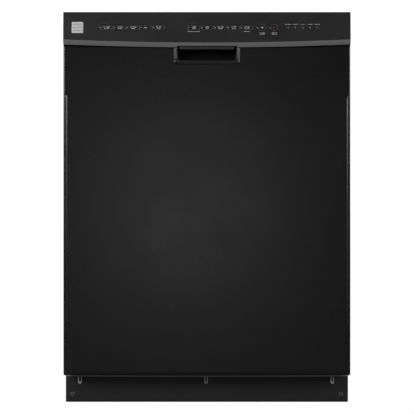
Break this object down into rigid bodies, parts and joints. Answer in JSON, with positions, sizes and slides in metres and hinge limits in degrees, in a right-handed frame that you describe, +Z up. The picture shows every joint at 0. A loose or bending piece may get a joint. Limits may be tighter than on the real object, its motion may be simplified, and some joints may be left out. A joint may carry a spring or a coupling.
{
  "type": "built-in dishwasher",
  "caption": "Built-in dishwasher with a drop-down door, pocket handle, top control strip, sliding racks, spray arms and levelling feet.",
  "frame": {"origin": "on the floor, under the middle of the machine's box", "axes": "+Z up, -Y out of the door's front, +X to the right of someone facing the door"},
  "size_m": [0.6064, 0.61, 0.832],
  "materials": {
    "charcoal_plastic": "satin charcoal moulding",
    "black_paint": "semi-gloss black enamel",
    "black_plastic": "satin black moulding",
    "key_plastic": "satin, with small pale printed marks",
    "stop_key": "satin dark red",
    "silver_badge": "satin",
    "light_lens": "clear lens",
    "stainless": "bright stainless",
    "galvanised": "zinc plated",
    "tub_plastic": "light grey moulding",
    "grey_plastic": "mid grey moulding",
    "dark_grey_plastic": "dark grey moulding",
    "rack_vinyl": "grey vinyl over steel wire",
    "gasket_rubber": "matte",
    "blanket_felt": "felt",
    "board_green": "solder mask",
    "cap_blue": "satin"
  },
  "bodies": {
    "root": {"tub": "tub_plastic", "tub_gasket": "gasket_rubber", "sound_blanket": "blanket_felt", "base_rail_left": "galvanised", "base_rail_right": "galvanised", "rear_crossmember": "galvanised", "toe_panel": "black_paint", "sump_housing": "dark_grey_plastic", "filter_cup": "grey_plastic", "wash_pump": "dark_grey_plastic", "drain_pump": "dark_grey_plastic", "inlet_valve": "dark_grey_plastic", "junction_box": "galvanised", "heating_element": "galvanised", "feed_tube": "grey_plastic", "rack_rail_left": "stainless", "rack_rail_right": "stainless", "door_strike": "stainless", "mounting_bracket_left": "galvanised", "mounting_bracket_right": "galvanised", "hinge_spring_left": "galvanised", "hinge_spring_right": "galvanised"},
    "door": {"door_panel": "black_paint", "control_console": "charcoal_plastic", "handle_pocket": "black_plastic", "latch_body": "dark_grey_plastic", "control_board": "board_green", "status_lights": "light_lens", "badge_plate": "silver_badge", "inner_door_liner": "tub_plastic", "detergent_dispenser": "grey_plastic", "hinge_arm_left": "galvanised", "hinge_arm_right": "galvanised"},
    "latch_paddle": {"latch_paddle": "black_plastic"},
    "detergent_lid": {"detergent_lid": "grey_plastic"},
    "rinse_aid_cap": {"rinse_aid_cap": "cap_blue"},
    "upper_rack": {"upper_rack": "rack_vinyl"},
    "upper_spray_arm": {"upper_spray_arm": "grey_plastic"},
    "lower_rack": {"lower_rack": "rack_vinyl", "silverware_basket": "grey_plastic"},
    "fold_down_tines": {"fold_down_tines": "rack_vinyl"},
    "lower_spray_arm": {"lower_spray_arm": "grey_plastic"},
    "float": {"float": "grey_plastic"},
    "start_key": {"start_key": "key_plastic"},
    "cancel_key": {"cancel_key": "stop_key"},
    "cycle_key_pots_pans": {"cycle_key_pots_pans": "key_plastic"},
    "cycle_key_normal": {"cycle_key_normal": "key_plastic"},
    "cycle_key_light": {"cycle_key_light": "key_plastic"},
    "cycle_key_quick": {"cycle_key_quick": "key_plastic"},
    "cycle_key_rinse": {"cycle_key_rinse": "key_plastic"},
    "option_key_hi_temp": {"option_key_hi_temp": "key_plastic"},
    "option_key_sani": {"option_key_sani": "key_plastic"},
    "option_key_heat_dry": {"option_key_heat_dry": "key_plastic"},
    "option_key_half_load": {"option_key_half_load": "key_plastic"},
    "option_key_delay": {"option_key_delay": "key_plastic"},
    "foot_front_left": {"foot_front_left": "dark_grey_plastic"},
    "foot_front_right": {"foot_front_right": "dark_grey_plastic"},
    "foot_rear_left": {"foot_rear_left": "dark_grey_plastic"},
    "foot_rear_right": {"foot_rear_right": "dark_grey_plastic"}
  },
  "joints": [
    {"name": "door_hinge", "type": "hinge", "parent": "root", "child": "door", "pos_m": [0, -0.2784, 0.082], "axis": [1, 0, 0], "range_deg": [0, 90], "stiffness_Nm_per_rad": 14, "deforming": ["hinge_spring_left", "hinge_spring_right"]},
    {"name": "upper_rack_slide", "type": "slide", "parent": "root", "child": "upper_rack", "axis": [0, -1, 0], "range_m": [0, 0.44]},
    {"name": "lower_rack_slide", "type": "slide", "parent": "root", "child": "lower_rack", "axis": [0, -1, 0], "range_m": [0, 0.15]},
    {"name": "latch_paddle_squeeze", "type": "hinge", "parent": "door", "child": "latch_paddle", "pos_m": [0, -0.2984, 0.7562], "axis": [1, 0, 0], "range_deg": [0, 12], "stiffness_Nm_per_rad": 0.5},
    {"name": "detergent_lid_hinge", "type": "hinge", "parent": "door", "child": "detergent_lid", "pos_m": [-0.032, -0.2191, 0.353], "axis": [-1, 0, 0], "range_deg": [0, 90]},
    {"name": "rinse_aid_cap_turn", "type": "hinge", "parent": "door", "child": "rinse_aid_cap", "pos_m": [0.04, -0.2224, 0.385], "axis": [0, 1, 0], "range_deg": [0, 90]},
    {"name": "upper_spray_arm_spin", "type": "hinge", "parent": "upper_rack", "child": "upper_spray_arm", "pos_m": [0, 0.0289, 0.478], "axis": [0, 0, 1], "continuous": true},
    {"name": "lower_spray_arm_spin", "type": "hinge", "parent": "root", "child": "lower_spray_arm", "pos_m": [0, 0.0289, 0.148], "axis": [0, 0, 1], "continuous": true},
    {"name": "tine_fold", "type": "hinge", "parent": "lower_rack", "child": "fold_down_tines", "pos_m": [-0.06, 0.0289, 0.17225], "axis": [0, -1, 0], "range_deg": [0, 90]},
    {"name": "float_lift", "type": "slide", "parent": "root", "child": "float", "axis": [0, 0, 1], "range_m": [0, 0.01]},
    {"name": "cycle_key_pots_pans_press", "type": "slide", "parent": "door", "child": "cycle_key_pots_pans", "axis": [0, 0.9981, -0.061], "range_m": [0, 0.0008], "stiffness_N_per_m": 600},
    {"name": "cycle_key_normal_press", "type": "slide", "parent": "door", "child": "cycle_key_normal", "axis": [0, 0.9981, -0.061], "range_m": [0, 0.0008], "stiffness_N_per_m": 600},
    {"name": "cycle_key_light_press", "type": "slide", "parent": "door", "child": "cycle_key_light", "axis": [0, 0.9981, -0.061], "range_m": [0, 0.0008], "stiffness_N_per_m": 600},
    {"name": "cycle_key_quick_press", "type": "slide", "parent": "door", "child": "cycle_key_quick", "axis": [0, 0.9981, -0.061], "range_m": [0, 0.0008], "stiffness_N_per_m": 600},
    {"name": "cycle_key_rinse_press", "type": "slide", "parent": "door", "child": "cycle_key_rinse", "axis": [0, 0.9981, -0.061], "range_m": [0, 0.0008], "stiffness_N_per_m": 600},
    {"name": "option_key_hi_temp_press", "type": "slide", "parent": "door", "child": "option_key_hi_temp", "axis": [0, 0.9981, -0.061], "range_m": [0, 0.0008], "stiffness_N_per_m": 600},
    {"name": "option_key_sani_press", "type": "slide", "parent": "door", "child": "option_key_sani", "axis": [0, 0.9981, -0.061], "range_m": [0, 0.0008], "stiffness_N_per_m": 600},
    {"name": "option_key_heat_dry_press", "type": "slide", "parent": "door", "child": "option_key_heat_dry", "axis": [0, 0.9981, -0.061], "range_m": [0, 0.0008], "stiffness_N_per_m": 600},
    {"name": "option_key_half_load_press", "type": "slide", "parent": "door", "child": "option_key_half_load", "axis": [0, 0.9981, -0.061], "range_m": [0, 0.0008], "stiffness_N_per_m": 600},
    {"name": "option_key_delay_press", "type": "slide", "parent": "door", "child": "option_key_delay", "axis": [0, 0.9981, -0.061], "range_m": [0, 0.0008], "stiffness_N_per_m": 600},
    {"name": "start_key_press", "type": "slide", "parent": "door", "child": "start_key", "axis": [0, 0.9981, -0.061], "range_m": [0, 0.0008], "stiffness_N_per_m": 600},
    {"name": "cancel_key_press", "type": "slide", "parent": "door", "child": "cancel_key", "axis": [0, 0.9981, -0.061], "range_m": [0, 0.0008], "stiffness_N_per_m": 600},
    {"name": "foot_front_left_thread", "type": "slide", "parent": "root", "child": "foot_front_left", "axis": [0, 0, -1], "range_m": [0, 0.03]},
    {"name": "foot_front_right_thread", "type": "slide", "parent": "root", "child": "foot_front_right", "axis": [0, 0, -1], "range_m": [0, 0.03]},
    {"name": "foot_rear_left_thread", "type": "slide", "parent": "root", "child": "foot_rear_left", "axis": [0, 0, -1], "range_m": [0, 0.03]},
    {"name": "foot_rear_right_thread", "type": "slide", "parent": "root", "child": "foot_rear_right", "axis": [0, 0, -1], "range_m": [0, 0.03]}
  ],
  "couplings": [
    {"joint": "upper_rack_slide", "follows": "door_hinge", "m_per_rad": 0.28},
    {"joint": "lower_rack_slide", "follows": "door_hinge", "m_per_rad": 0.095}
  ]
}
